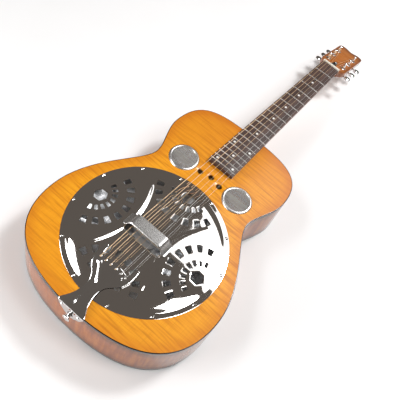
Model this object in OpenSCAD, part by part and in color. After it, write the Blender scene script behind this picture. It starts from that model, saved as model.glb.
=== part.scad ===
// Resonator guitar with a spider bridge, a fan-pierced cover plate and three tuners a side.
// It lies on its back: +Y runs to the headstock, +X to the treble side, +Z out of the top.
// Most places are worked out in the plate frame, whose origin is the centre of the cover
// plate on the outside of the top, and in_frame() moves that to the part's own origin.

/* [Body] */
// Depth of the body, outside to outside
body_depth = 90; // [80:1:100]
// Width across the lower bout
lower_bout_w = 360; // [352:1:372]
// Width across the waist
waist_w = 216; // [206:1:226]
// Width across the upper bout
upper_bout_w = 262; // [254:1:272]
// Thickness of the top and the back
plate_t = 3.4; // [2.5:0.1:4]
// Thickness of the bent sides
rim_t = 3.2; // [2.4:0.1:4]
// Width of the edge binding
binding_w = 1.6; // [1.2:0.1:2]

/* [Neck] */
// Length from the nut to the bridge saddle
scale_len = 635; // [620:1:640]
// Number of frets
fret_count = 19; // [14:1:19]
// Angle that the neck leans back from the top
neck_tilt = 1.2; // [0.8:0.1:1.6]
// Width of the fretboard at the nut
nut_w = 43; // [42:0.5:46]
// Width of the fretboard at its body end
board_end_w = 57; // [55:0.5:60]
// Thickness of the fretboard
board_t = 6; // [5:0.5:7]

/* [Headstock] */
// Angle between the headstock and the neck
head_pitch = 15; // [13:0.5:16]
// Length of the headstock past the nut
head_len = 154; // [150:1:160]
// Width of the headstock
head_w = 67; // [66:1:70]
// Thickness of the headstock
head_t = 13.5; // [13:0.5:14]
// Distance from the nut to the first pair of tuners
first_post = 33; // [32:1:35]
// Distance between neighbouring tuners
post_pitch = 35; // [33:1:36]
// Distance of the string posts from the centre line
post_x = 21; // [20:0.5:22]

/* [Resonator] */
// Radius of the cover plate
plate_r = 142; // [141:0.5:143]
// Height of the cover plate's crown above the top
crown_h = 10; // [9:0.5:11]
// Number of cover plate screws
plate_screws = 12; // [8:4:16]
// Radius of the circle of cover plate screws
plate_screw_r = 138; // [137.5:0.25:138.5]

/* [Hidden] */
$fn = 64;
// How far a cut runs past the face that it opens
cut = 1;

// Colours
amber = [0.72, 0.36, 0.09];
dark_amber = [0.45, 0.18, 0.05];
rosewood = [0.23, 0.14, 0.12];
chrome = [0.75, 0.75, 0.77];
pale_wood = [0.80, 0.68, 0.48];

// Body outline: four curves from the middle of the tail to the middle of the neck end
tail_y = -173.5;
lower_y = -37;
waist_y = 149;
upper_y = 234;
neck_end_y = 320;
tail_fullness = 120;
lower_fullness = [93, 86];
waist_fullness = [36, 24];
upper_fullness = [31, 78];
shoulder_fullness = 84;
steps_per_curve = 22;
side_curves = [
  [[0, tail_y], [tail_fullness, tail_y],
   [lower_bout_w / 2, lower_y - lower_fullness[0]], [lower_bout_w / 2, lower_y]],
  [[lower_bout_w / 2, lower_y], [lower_bout_w / 2, lower_y + lower_fullness[1]],
   [waist_w / 2, waist_y - waist_fullness[0]], [waist_w / 2, waist_y]],
  [[waist_w / 2, waist_y], [waist_w / 2, waist_y + waist_fullness[1]],
   [upper_bout_w / 2, upper_y - upper_fullness[0]], [upper_bout_w / 2, upper_y]],
  [[upper_bout_w / 2, upper_y], [upper_bout_w / 2, upper_y + upper_fullness[1]],
   [shoulder_fullness, neck_end_y], [0, neck_end_y]]
];

// Heights of the inner parts, from the outside of the top
back_in_z = plate_t - body_depth;
brace_h = 8.8;
lining_h = 11;
lining_w = 7;
block_gap = 0.1;
neck_block_half_w = 32;
neck_block_y = 278;
tail_block_half_w = 40;
tail_block_y = -156;
brace_places = [-95, 0, 95, 230];
brace_half_w = 5;
strap_pilot_r = 1.6;
binding_h = 6;
well_out_r = 140.5;
well_in_r = 134;
ledge_in_r = 126.4;
ledge_z = -13;
ledge_t = 6;
cone_r = 133;
cone_t = 0.6;

// Cover plate, its fans and its centre opening
sheet_t = 1;
flange_in_r = 134;
bead_in_r = 124;
bead_h = 6.5;
fan_r = 116;
fan_angles = [-68, -49, -29.5, -10, 10, 29.5, 49, 68];
// Each row of slots: radius from the fan's centre, length, inner width, outer width
fan_rows = [[57.5, 13, 8, 11], [31, 9.5, 4.5, 6.5]];
fan_hub_offset = 8.5;
fan_hub_r = 12.5;
plate_hole_r = 1.5;
opening_x = 38;
opening_y = 20;

// Sound holes
screen_hole = [63.5, 175];
screen_hole_r = 26.4;
bezel_r = 29.2;
small_hole_r = 5.8;
small_holes = [[-22.5, 174], [0, 179], [22.5, 174]];

// Neck and fretboard
joint_y = scale_len / 2;
joint_board_z = 6.5;
nut_t = 5;
board_end_y = 204;
crown_radius = 305;
fret_h = 1;
fret_half_w = 1.2;
tang_half_w = 0.28;
tang_slot_half_w = 0.3;
side_dot_r = 1;
dot_r = 2.6;
dot_pair_x = 18.5;
single_dots = [3, 5, 7, 9, 12, 17];
double_dots = [15, 19];
neck_depth = [14.5, 17.5];
heel_depth = 84;
heel_len = 54;
heel_half_w = 12;
rod_depth = 7;
rod_slot = [6, 10.5];
rod_r = 2.5;
rod_nut_r = 3.7;
pocket_half_w = 4.6;
pocket_len = 23;
pocket_depth = 11;
running_gap = 0.05;

// Strings from the treble side to the bass side
string_r = [0.15, 0.20, 0.30, 0.40, 0.53, 0.66];
nut_spread = 36;
bridge_spread = 54;
saddle_z = 17.5;
string_hole_y = -83;
slot_gap = 0.1;

// Tuners, in each tuner's own frame: origin at the post's axis on the head's face,
// X outwards, Y away from the nut
post_r = 3;
post_hole_r = 4.4;
waist_r = 2.4;
waist_low_z = 5.2;
gear_teeth = 14;
gear_pitch_r = 6;
worm_y = 9;
key_z = -head_t - 4.7;
worm_pitch = 2 * PI * gear_pitch_r / gear_teeth;
worm_core_r = 1.9;
worm_out_r = 3.4;
shaft_r = 2.2;
ear_x = 6.3;
ear_t = 1.8;
button_x = 20.5;
button_r = 8.5;
button_t = 5;

// Tailpiece: its plate climbs from the tail edge over the cover plate
tail_slope = 6.2;
tail_start_z = 2.4;
tail_t = 1.8;
arm_t = 1;
strap_z = -22;
strap_len = 8;
strap_groove_r = 4.2;
strap_head_r = 6.9;

// Place of the plate frame in the part's frame
y_min = tail_y - tail_t - strap_len;
y_max = scale_len + nut_t + head_len * cos(neck_tilt + head_pitch);
y_shift = -(y_min + y_max) / 2;

// ---- Curves and helpers ----

function bezier(p, t) =
  pow(1 - t, 3) * p[0] + 3 * pow(1 - t, 2) * t * p[1]
  + 3 * (1 - t) * t * t * p[2] + pow(t, 3) * p[3];

function bezier_slope(p, t) =
  pow(1 - t, 2) * (p[1] - p[0]) + 2 * (1 - t) * t * (p[2] - p[1]) + t * t * (p[3] - p[2]);

function bezier_points(p, steps) = [for (i = [0:steps - 1]) bezier(p, i / steps)];

// Point on a curve, moved inwards
function inset_point(p, t, inset) =
  let (d = bezier_slope(p, t))
  bezier(p, t) + inset * [-d[1], d[0]] / norm(d);

function side_points(inset) = [
  for (c = side_curves)
    for (i = [0:steps_per_curve - 1])
      inset_point(c, i / steps_per_curve, inset),
  [0, neck_end_y - inset]
];

// Closed outline of the body, moved inwards
function body_outline(inset) =
  let (s = side_points(inset), n = len(s))
  concat(s, [for (i = [n - 2:-1:1]) [-s[i][0], s[i][1]]]);

// Outline mirrored about the Y axis, from its right half
function both_sides(half) =
  concat(half, [for (i = [len(half) - 1:-1:0]) [-half[i][0], half[i][1]]]);

// Distance of a fret from the saddle
function fret_y(n) = scale_len * pow(2, -n / 12);

// Height of the neck's wood at a place along it
function neck_z(y) = joint_board_z - board_t - (y - joint_y) * tan(neck_tilt);

// Half-width of the fretboard at a place along it
function board_half_w(y) =
  (nut_w + (board_end_w - nut_w) * (scale_len - y) / (scale_len - board_end_y)) / 2;

// Place of string i across the neck, where spread is from the first to the last
function string_x(i, spread) = spread * (0.5 - (i - 1) / 5);

// Height of the tailpiece's upper face
function tail_z(y) = tail_start_z + (y - tail_y) * tan(tail_slope);

module in_frame() translate([0, y_shift, body_depth]) children();

// Frame on the neck's face at the body joint
module neck_frame() translate([0, joint_y, neck_z(joint_y)]) rotate([-neck_tilt, 0, 0]) children();

// Frame on the headstock's face, from the back of the nut
module head_frame()
  translate([0, scale_len + nut_t, neck_z(scale_len + nut_t)])
    rotate([-neck_tilt - head_pitch, 0, 0])
      children();

// Tuner frame for string i: strings 1 to 3 are on the treble side
module tuner_frame(i) {
  side = i <= 3 ? 1 : -1;
  place = i <= 3 ? i - 1 : 6 - i;
  head_frame()
    translate([side * post_x, first_post + place * post_pitch, 0])
      scale_side(side)
        children();
}

module scale_side(side) {
  if (side > 0) children();
  else mirror([1, 0, 0]) children();
}

module each_tuner() for (i = [1:6]) tuner_frame(i) children();

// Solid between two heights with the body's outline
module body_slab(inset, low, high)
  translate([0, 0, low])
    linear_extrude(height = high - low)
      polygon(body_outline(inset));

// Round bar between two points
module bar(p, q, r) {
  d = q - p;
  translate(p)
    rotate([0, acos(d[2] / norm(d)), atan2(d[1], d[0])])
      cylinder(r = r, h = norm(d));
}

function all_points(ring) = [[for (j = [0:len(ring) - 1]) j]];

// Closed solid through a list of rings with the same number of points; cap lists the faces
// that close the first ring, and the last ring is closed by the same faces turned over
module sweep(rings, cap) {
  n = len(rings[0]);
  last = len(rings) - 1;
  polyhedron(
    points = [for (r = rings) each r],
    faces = concat(
      [for (k = [0:last - 1]) for (j = [0:n - 1])
        each [[n * k + j, n * (k + 1) + (j + 1) % n, n * k + (j + 1) % n],
              [n * k + j, n * (k + 1) + j, n * (k + 1) + (j + 1) % n]]],
      cap,
      [for (face = cap) [for (j = [len(face) - 1:-1:0]) n * last + face[j]]]
    ),
    convexity = 6
  );
}

module tube(r_out, r_in, low, high)
  translate([0, 0, low])
    difference() {
      cylinder(r = r_out, h = high - low);
      translate([0, 0, -cut]) cylinder(r = r_in, h = high - low + 2 * cut);
    }

// Block from its lowest to its highest corner
module block(low, high) translate(low) cube(high - low);

// Places of the cover plate screws
module each_plate_screw()
  for (k = [0:plate_screws - 1])
    rotate([0, 0, (k + 0.5) * 360 / plate_screws])
      translate([plate_screw_r, 0, 0])
        children();

module both_screen_holes()
  for (side = [-1, 1])
    translate([side * screen_hole[0], screen_hole[1], 0])
      children();

// ---- Body ----

module top_plate() color(amber) in_frame()
  difference() {
    body_slab(binding_w + 0.01, -plate_t, 0);
    translate([0, 0, -plate_t - cut]) cylinder(r = well_in_r, h = plate_t + 2 * cut, $fn = 96);
    each_plate_screw() translate([0, 0, -plate_t - cut]) cylinder(r = plate_hole_r, h = plate_t + 2 * cut);
    both_screen_holes() translate([0, 0, -plate_t - cut])
      cylinder(r = screen_hole_r, h = plate_t + 2 * cut);
    for (p = small_holes)
      translate([p[0], p[1], -plate_t - cut]) cylinder(r = small_hole_r, h = plate_t + 2 * cut);
  }

module back_plate() color(dark_amber) in_frame()
  body_slab(binding_w + 0.01, -body_depth, back_in_z);

module rim() color(dark_amber) in_frame()
  difference() {
    body_slab(0, -body_depth + binding_h, -binding_h);
    body_slab(rim_t, -body_depth, 0);
    translate([0, tail_y - cut, strap_z]) rotate([-90, 0, 0]) cylinder(r = strap_pilot_r, h = 20);
  }

module edge_strip(low, high)
  difference() {
    body_slab(0, low, high);
    body_slab(binding_w, low - cut, high + cut);
  }

module top_binding() color("black") in_frame() edge_strip(-binding_h, 0);

module back_binding() color("black") in_frame() edge_strip(-body_depth, -body_depth + binding_h);

module neck_block_zone(gap)
  block([-neck_block_half_w - gap, neck_block_y - gap, -body_depth],
        [neck_block_half_w + gap, neck_end_y + 10, 0]);

module tail_block_zone(gap)
  block([-tail_block_half_w - gap, tail_y - 16.5, -body_depth],
        [tail_block_half_w + gap, tail_block_y + gap, 0]);

module lining_ring(low, high)
  difference() {
    body_slab(rim_t, low, high);
    body_slab(rim_t + lining_w, low - cut, high + cut);
    neck_block_zone(block_gap);
    tail_block_zone(block_gap);
  }

module linings() color(pale_wood) in_frame() {
  lining_ring(-plate_t - lining_h, -plate_t);
  lining_ring(back_in_z, back_in_z + lining_h);
}

module neck_block() color(pale_wood) in_frame()
  intersection() {
    body_slab(rim_t, back_in_z, -plate_t);
    neck_block_zone(0);
  }

module tail_block() color(pale_wood) in_frame()
  difference() {
    intersection() {
      body_slab(rim_t, back_in_z, -plate_t);
      tail_block_zone(0);
    }
    translate([0, tail_y - cut, strap_z]) rotate([-90, 0, 0]) cylinder(r = strap_pilot_r, h = 40);
  }

// Bars glued across the inside of the back
module back_braces() color(pale_wood) in_frame()
  for (y = brace_places)
    intersection() {
      body_slab(rim_t + lining_w + 0.2, back_in_z, back_in_z + brace_h);
      block([-lower_bout_w, y - brace_half_w, -body_depth], [lower_bout_w, y + brace_half_w, 0]);
    }

// Round wall that carries the cone on an inner ledge
module soundwell() color(pale_wood) in_frame()
  difference() {
    union() {
      tube(well_out_r, well_in_r, back_in_z + brace_h, -plate_t);
      tube(well_in_r + cut, ledge_in_r, ledge_z - ledge_t, ledge_z);
    }
    each_plate_screw() translate([0, 0, -12]) cylinder(r = 1.2, h = 12);
    for (a = [18:36:342])
      rotate([0, 0, a])
        translate([well_in_r - 10, 0, -46])
          rotate([0, 90, 0])
            cylinder(r = 12, h = 40);
  }

// ---- Resonator ----

// Spun cone: an outer lip, a bowl and a raised centre
module cone() color("silver") in_frame()
  rotate_extrude($fn = 128)
    polygon([
      [3.2, -15], [10, -15], [60, -40], [70, -41], [124, -15], [126, ledge_z], [cone_r, ledge_z],
      [cone_r, ledge_z + cone_t], [125.6, ledge_z + cone_t], [123.6, -14.2], [70.2, -40.2],
      [60.2, -39.3], [10.2, -14.4], [3.2, -14.4]
    ]);

// Cast bridge: eight legs from a hub out to the lip of the cone
module spider_bridge() color("silver") in_frame()
  difference() {
    union() {
      translate([0, 0, -9]) cylinder(r = 20, h = 5);
      block([-31, -5, -6], [31, 5, 5]);
      for (a = [22.5:45:337.5])
        rotate([0, 0, a]) {
          block([12, -3.5, -10], [129, 3.5, -7]);
          block([126.5, -3.5, ledge_z + cone_t], [130.5, 3.5, -7]);
        }
    }
    block([-29.1, -1.8, -2], [29.1, 1.8, 6]);
    translate([0, 0, -12]) cylinder(r = 2.1, h = 20);
  }

// Two maple inserts that stand in the bridge's slot and carry the strings
module saddle_inserts() color(pale_wood) in_frame()
  difference() {
    union() {
      block([3.7, -1.7, -2], [29, 1.7, saddle_z]);
      block([-29, -1.7, -2], [-3.7, 1.7, saddle_z]);
    }
    for (i = [1:6])
      translate([string_x(i, bridge_spread), -3, saddle_z])
        rotate([-90, 0, 0])
          cylinder(r = string_r[i - 1] + 0.25, h = 6);
  }

module tension_screw() color("silver") in_frame()
  difference() {
    union() {
      translate([0, 0, -17]) cylinder(r = 2, h = 14);
      translate([0, 0, -17.6]) cylinder(r = 4, h = 2);
      translate([0, 0, -3.9]) cylinder(r = 1.3, h = 12);
      translate([0, 0, 5.1]) cylinder(r = 3.4, h = 3);
    }
    block([-4, -0.5, 7], [4, 0.5, 9]);
  }

// Height of the cover plate's upper face at radius r
function plate_z(r) =
  r >= flange_in_r ? sheet_t
  : r >= bead_in_r
    ? sheet_t + (bead_h - sheet_t) * (1 - cos(180 * (flange_in_r - r) / (flange_in_r - bead_in_r))) / 2
  : bead_h + (crown_h - bead_h) * (1 - pow(r / bead_in_r, 2));

plate_radii = concat([for (k = [0:10]) k * 12.4], [for (k = [1:10]) bead_in_r + k], [plate_r]);

// One tapered slot of a fan, at an angle from its centre
module fan_slot(radius, length, w_in, w_out)
  translate([radius, 0, -cut])
    linear_extrude(height = crown_h + 5)
      polygon([[-length / 2, -w_in / 2], [length / 2, -w_out / 2],
               [length / 2, w_out / 2], [-length / 2, w_in / 2]]);

// Pierced fan: two rows of slots and a six-sided hole
module fan()
  translate([fan_r, 0, 0])
    mirror([1, 0, 0]) {
      for (a = fan_angles)
        rotate([0, 0, a])
          for (row = fan_rows)
            fan_slot(row[0], row[1], row[2], row[3]);
      translate([fan_hub_offset, 0, -cut]) cylinder(r = fan_hub_r, h = crown_h + 5, $fn = 6);
    }

module coverplate() color(chrome) in_frame()
  difference() {
    rotate_extrude($fn = 128)
      polygon(concat(
        [for (r = plate_radii) [r, plate_z(r)]],
        [for (k = [len(plate_radii) - 1:-1:0]) [plate_radii[k], plate_z(plate_radii[k]) - sheet_t]]
      ));
    block([-opening_x, -opening_y, -cut], [opening_x, opening_y, crown_h + 5]);
    for (a = [0:90:270]) rotate([0, 0, a]) fan();
    each_plate_screw() translate([0, 0, -cut]) cylinder(r = plate_hole_r, h = sheet_t + 3);
  }

// Arched guard over the saddle, with feet on the cover plate
module hand_rest() color(chrome) in_frame()
  difference() {
    translate([0, 12, 0])
      rotate([90, 0, 0])
        linear_extrude(height = 24)
          polygon(both_sides([
            [0, 24], [30.5, 24], [41, crown_h - 0.2], [50, crown_h - 0.4],
            [50, crown_h + 1], [42.6, crown_h + 1.2], [33.5, 24.4], [32, 25.4], [0, 25.4]
          ]));
    translate([0, 0, 20]) cylinder(r = 2.4, h = 10);
  }

module coverplate_screws() color(chrome) in_frame()
  each_plate_screw() {
    translate([0, 0, -9]) cylinder(r = 1.1, h = 9.5 + sheet_t);
    difference() {
      translate([0, 0, sheet_t - 1.7])
        intersection() {
          sphere(r = 3.7);
          translate([0, 0, 1.7]) cylinder(r = 3.3, h = 3);
        }
      block([-0.4, -2, sheet_t + 1.2], [0.4, 2, sheet_t + 3]);
      block([-2, -0.4, sheet_t + 1.2], [2, 0.4, sheet_t + 3]);
    }
  }

// Ring that holds a sound hole's screen
module bezel()
  rotate_extrude($fn = 96)
    polygon([
      [24, 1.2], [25.2, 1.2], [25.2, -4], [26.3, -4], [26.3, 0], [bezel_r, 0],
      [bezel_r, 0.8], [28.4, 2], [26.8, 2.6], [25.2, 2.4], [24, 1.8]
    ]);

module screen() cylinder(r = 25.1, h = 0.6, $fn = 96);

module bass_bezel() color(chrome) in_frame()
  translate([-screen_hole[0], screen_hole[1], 0]) bezel();
module treble_bezel() color(chrome) in_frame()
  translate([screen_hole[0], screen_hole[1], 0]) bezel();
module bass_screen() color("dimgray") in_frame()
  translate([-screen_hole[0], screen_hole[1], 0.6]) screen();
module treble_screen() color("dimgray") in_frame()
  translate([screen_hole[0], screen_hole[1], 0.6]) screen();

// ---- Neck ----

// How far along the heel's curve a place lies: 1 at the body, 0 where the heel ends
function heel_part(y) = max(0, 1 - (y - neck_end_y) / heel_len);

function neck_bottom(y) =
  let (t = (scale_len - y) / (scale_len - neck_end_y),
       plain = neck_depth[0] + (neck_depth[1] - neck_depth[0]) * t,
       h = heel_part(y))
  plain + (heel_depth - plain) * h * h * (3 - 2 * h);

neck_arc_steps = 18;
neck_rings = concat(
  [for (k = [0:16]) neck_end_y + k * heel_len / 16],
  [for (k = [1:14]) neck_end_y + heel_len + k * (scale_len + nut_t - neck_end_y - heel_len) / 14]
);

// Cross-section of the neck: a rounded back, a flat face and the truss rod's slot
function neck_ring(y) =
  let (w = board_half_w(min(y, scale_len)), d = neck_bottom(y), z = neck_z(y), h = heel_part(y),
       lean = tan(neck_tilt + head_pitch) * pow(max(0, (y - joint_y) / (scale_len + nut_t - joint_y)), 8),
       taper = 1 - (1 - heel_half_w / w) * h)
  concat(
    [for (k = [0:neck_arc_steps])
      let (a = 180 * k / neck_arc_steps,
           depth = d * pow(sin(a), 0.9 - 0.4 * h),
           side = w * cos(a) * (1 - (1 - taper) * depth / d))
      [side, y - lean * depth, z - depth]],
    [[-rod_slot[0] / 2, y, z], [-rod_slot[0] / 2, y - lean * rod_slot[1], z - rod_slot[1]],
     [rod_slot[0] / 2, y - lean * rod_slot[1], z - rod_slot[1]], [rod_slot[0] / 2, y, z]]
  );

// Triangles that close the neck's section on both sides of the rod's slot
neck_cap =
  let (last = neck_arc_steps, middle = last / 2, bass_edge = last + 1, bass_floor = last + 2,
       treble_floor = last + 3, treble_edge = last + 4)
  concat(
    [for (k = [middle:last - 1]) [bass_floor, k, k + 1]], [[bass_floor, last, bass_edge]],
    [for (k = [0:middle - 1]) [treble_floor, k, k + 1]], [[treble_floor, treble_edge, 0]],
    [[bass_floor, treble_floor, middle]]
  );

module neck() color(amber) in_frame()
  sweep([for (y = neck_rings) neck_ring(y)], neck_cap);

// Headstock outline: a flare from the nut, straight sides and a dipped end between two lobes
head_half = concat(
  bezier_points([[22, 0], [24, 9], [head_w / 2, 10], [head_w / 2, 27]], 10),
  bezier_points([[head_w / 2, head_len - 12], [head_w / 2, head_len - 2],
                 [head_w / 2 - 8, head_len], [head_w / 2 - 13, head_len]], 8),
  bezier_points([[head_w / 2 - 13, head_len], [10, head_len], [8, head_len - 5],
                 [0, head_len - 5]], 8)
);

module headstock() color(amber) in_frame() head_frame()
  difference() {
    translate([0, 0, -head_t])
      linear_extrude(height = head_t)
        polygon(both_sides(head_half));
    for (x = [-post_x, post_x])
      for (k = [0:2])
        translate([x, first_post + k * post_pitch, -head_t - cut])
          cylinder(r = post_hole_r, h = head_t + 2 * cut);
    block([-pocket_half_w, -cut, -pocket_depth], [pocket_half_w, pocket_len, cut]);
  }

// Board's crowned top, as a solid below it
module crown_solid(extra)
  translate([0, -200, board_t - crown_radius])
    rotate([-90, 0, 0])
      cylinder(r = crown_radius + extra, h = 600, $fn = 256);

// Where a fret or a marker sits, in the neck frame
function along(y) = (y - joint_y) / cos(neck_tilt);

module fretboard() color(rosewood) in_frame()
  difference() {
    neck_frame()
      intersection() {
        translate([0, 0, -10])
          linear_extrude(height = 20)
            polygon([[-board_end_w / 2, along(board_end_y)], [board_end_w / 2, along(board_end_y)],
                     [nut_w / 2, along(scale_len)], [-nut_w / 2, along(scale_len)]]);
        crown_solid(0);
      }
    block([-60, 100, -40], [60, neck_end_y, 0]);
    neck_frame() block([-60, neck_end_y - joint_y, -40], [60, 400, 0]);
    neck_frame()
      for (n = [1:fret_count])
        block([-60, along(fret_y(n)) - tang_slot_half_w, board_t - 2.2],
              [60, along(fret_y(n)) + tang_slot_half_w, board_t + 2]);
    neck_frame() each_dot() cylinder(r = dot_r, h = 10);
    neck_frame() each_side_dot() cylinder(r = side_dot_r, h = 4);
  }

// Bent fret wire: a rounded crown on the board's curve, above a thin tang
module fret(n) {
  half = board_half_w(fret_y(n));
  sweep = asin(half / crown_radius);
  wire_r = (pow(fret_half_w, 2) + pow(fret_h, 2)) / (2 * fret_h);
  translate([0, along(fret_y(n)), board_t - crown_radius])
    rotate([90, 0, 0])
      rotate([0, 0, 90 - sweep])
        rotate_extrude(angle = 2 * sweep, $fn = 256)
          intersection() {
            translate([crown_radius + fret_h - wire_r, 0]) circle(r = wire_r, $fn = 24);
            translate([crown_radius, -2]) square([3, 4]);
          }
  intersection() {
    block([-half, along(fret_y(n)) - tang_half_w, board_t - 2.1],
          [half, along(fret_y(n)) + tang_half_w, board_t + 2]);
    crown_solid(0.02);
  }
}

module frets() color("silver") in_frame() neck_frame() for (n = [1:fret_count]) fret(n);

module each_dot() {
  for (n = single_dots)
    translate([0, along((fret_y(n) + fret_y(n - 1)) / 2), board_t - 2]) children();
  for (n = double_dots)
    for (x = [-dot_pair_x, dot_pair_x])
      translate([x, along((fret_y(n) + fret_y(n - 1)) / 2), board_t - 2.6]) children();
}

module fret_markers() color("ivory") in_frame() neck_frame()
  intersection() {
    each_dot() cylinder(r = dot_r, h = 10);
    crown_solid(0);
  }

// Small dots in the bass edge of the board
module each_side_dot()
  for (n = concat(single_dots, [15]))
    let (y = (fret_y(n) + fret_y(n - 1)) / 2)
      translate([-board_half_w(y) - 0.5, along(y), 2.6])
        rotate([0, 90, 0])
          children();

module side_dots() color("ivory") in_frame() neck_frame()
  each_side_dot() translate([0, 0, 0.55]) cylinder(r = side_dot_r, h = 3);

// Height of a string's axis where it crosses the nut
function nut_string_z(i) = neck_z(scale_len) + board_t + 1.5 + string_r[i - 1];

module nut() color("ivory") in_frame()
  difference() {
    neck_frame()
      block([-nut_w / 2, along(scale_len), 0], [nut_w / 2, along(scale_len) + nut_t - 0.1, board_t + 2.2]);
    for (i = [1:6]) {
      slot_w = string_r[i - 1] + slot_gap;
      translate(string_path(i)[nut_point]) {
        block([-slot_w, -6, -slot_w], [slot_w, 0.5, 3]);
        rotate([-neck_tilt - head_pitch, 0, 0]) block([-slot_w, -0.5, -slot_w], [slot_w, 5, 3]);
      }
    }
  }

// Rod that stiffens the neck, with a nut that sets its tension from the headstock
rod_end = along(scale_len + nut_t) + 12;

module truss_rod() color("silver") in_frame() neck_frame()
  bar([0, along(neck_end_y) + 12, -rod_depth], [0, rod_end, -rod_depth], rod_r);

module truss_rod_nut() color("gold") in_frame() neck_frame()
  translate([0, rod_end - 8, -rod_depth])
    rotate([-90, 0, 0])
      difference() {
        cylinder(r = rod_nut_r, h = 7, $fn = 6);
        translate([0, 0, -cut]) cylinder(r = rod_r + running_gap, h = 9);
      }

// Bell-shaped plate over the truss rod's pocket
cover_half = concat(
  [[9, 1]],
  bezier_points([[9, 1], [9, 14], [5.6, 14], [5.2, 27]], 8),
  bezier_points([[5.2, 27], [5, 33], [3, 38], [0, 38]], 6)
);
cover_screws = [[-6, 4], [6, 4], [0, 31]];

module truss_rod_cover() color("black") in_frame() head_frame()
  difference() {
    linear_extrude(height = 2) polygon(both_sides(cover_half));
    for (p = cover_screws) translate([p[0], p[1], -cut]) cylinder(r = 1, h = 5);
  }

module truss_cover_screws() color(chrome) in_frame() head_frame()
  for (p = cover_screws)
    translate([p[0], p[1], 0]) {
      cylinder(r = 0.95, h = 2);
      translate([0, 0, 2]) cylinder(r1 = 1.9, r2 = 1.3, h = 0.8);
    }

// ---- Tailpiece ----

// Plan of the tailpiece: a flared foot, a narrow arm and a wide string bar with two hooks
tail_half = concat(
  [[0, tail_y]],
  bezier_points([[26.5, tail_y], [20, -162], [15, -158], [14, -146]], 8),
  bezier_points([[14, -146], [10.5, -136], [10.5, -128], [15, -118]], 8),
  bezier_points([[15, -118], [20, -108], [32, -104], [34, -93]], 8),
  bezier_points([[34, -93], [38, -84], [38, -72], [36, -62]], 6),
  [[36, -62], [31, -61]],
  bezier_points([[31, -61], [27, -68], [30, -80], [25, -79.5]], 8),
  bezier_points([[25, -79.5], [15, -77], [8, -75], [0, -75]], 6)
);

module tail_holes()
  for (i = [1:6])
    translate([string_x(i, bridge_spread), string_hole_y, -10])
      cylinder(r = string_r[i - 1] + 1.1, h = 60);

// Sheet folded over the body's edge and screwed to the tail
module tailpiece() color(chrome) in_frame() {
  difference() {
    translate([0, tail_y, tail_start_z])
      rotate([tail_slope, 0, 0])
        translate([0, -tail_y, -arm_t])
          linear_extrude(height = arm_t)
            polygon(both_sides(tail_half));
    tail_holes();
  }
  difference() {
    translate([0, tail_y, 0])
      rotate([90, 0, 0])
        linear_extrude(height = tail_t)
          polygon(both_sides([[0, tail_start_z], [26.5, tail_start_z], [26.5, -2], [22, -10],
                              [9, -30], [6, -32], [0, -32]]));
    for (x = [-17, 17])
      translate([x, tail_y + cut, -6]) rotate([90, 0, 0]) cylinder(r = 1.5, h = 5);
    translate([0, tail_y + cut, strap_z]) rotate([90, 0, 0]) cylinder(r = 2.2, h = 5);
  }
}

module tailpiece_screws() color(chrome) in_frame()
  for (x = [-17, 17])
    translate([x, tail_y - tail_t, -6])
      rotate([90, 0, 0])
        intersection() {
          translate([0, 0, -1.7]) sphere(r = 3.4);
          cylinder(r = 2.9, h = 3);
        }

// Turned knob for a strap's slotted end
module strap_button() color(chrome) in_frame()
  translate([0, tail_y - tail_t, strap_z])
    rotate([90, 0, 0]) {
      rotate_extrude($fn = 64)
        polygon([[0, 0], [6.2, 0], [6.2, 0.8], [strap_groove_r, 1.6], [strap_groove_r, 4.8],
                 [strap_head_r, 5.2], [strap_head_r, 7.4], [6.3, strap_len], [0, strap_len]]);
      translate([0, 0, -22]) cylinder(r = 1.5, h = 22);
    }

// ---- Tuners ----

// One long plate a side, with two ears for each key
module tuner_plates() color(chrome) in_frame() {
  for (side = [-1, 1])
    head_frame()
      difference() {
        block([side * post_x - 7.6, first_post - 11, -head_t - 1.2],
              [side * post_x + 7.6, first_post + 2 * post_pitch + 18, -head_t]);
        for (k = [0:2])
          translate([side * post_x, first_post + k * post_pitch, -head_t - 2])
            cylinder(r = post_r + running_gap, h = 4);
      }
  each_tuner()
    for (x = [-ear_x, ear_x])
      difference() {
        block([x - ear_t / 2, 5.9, key_z - 3.4], [x + ear_t / 2, 12.4, -head_t - 1.2]);
        translate([x - ear_t, worm_y, key_z])
          rotate([0, 90, 0]) cylinder(r = shaft_r + running_gap, h = 2 * ear_t);
      }
}

module tuner_bushings() color(chrome) in_frame()
  each_tuner()
    difference() {
      union() {
        translate([0, 0, -7]) cylinder(r = post_hole_r - 0.02, h = 7);
        cylinder(r = 6.4, h = 0.7);
        translate([0, 0, 0.7]) cylinder(r1 = 6.2, r2 = 4.6, h = 0.9);
      }
      translate([0, 0, -8]) cylinder(r = post_r + running_gap, h = 12);
    }

module tuner_screws() color(chrome) in_frame()
  for (side = [-1, 1])
    head_frame()
      for (y = [first_post - 8.5, first_post + post_pitch / 2 + 2,
                first_post + post_pitch * 1.5 + 2, first_post + 2 * post_pitch + 15.5])
        translate([side * post_x, y, -head_t - 1.2])
          intersection() {
            translate([0, 0, 1.4]) sphere(r = 2.8);
            translate([0, 0, -3]) cylinder(r = 2.3, h = 3);
          }

// Gear with straight-sided teeth; a gap between two of them faces the worm
module gear() {
  root_r = 5.2;
  tip_r = 6.7;
  translate([0, 0, key_z - 1.75])
    linear_extrude(height = 3.5)
      polygon([
        for (k = [0:gear_teeth - 1])
          let (a = 90 + (k + 0.5) * 360 / gear_teeth)
            each [[root_r * cos(a - 7.2), root_r * sin(a - 7.2)],
                  [tip_r * cos(a - 3.2), tip_r * sin(a - 3.2)],
                  [tip_r * cos(a + 3.2), tip_r * sin(a + 3.2)],
                  [root_r * cos(a + 7.2), root_r * sin(a + 7.2)]]
      ]);
}

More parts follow.
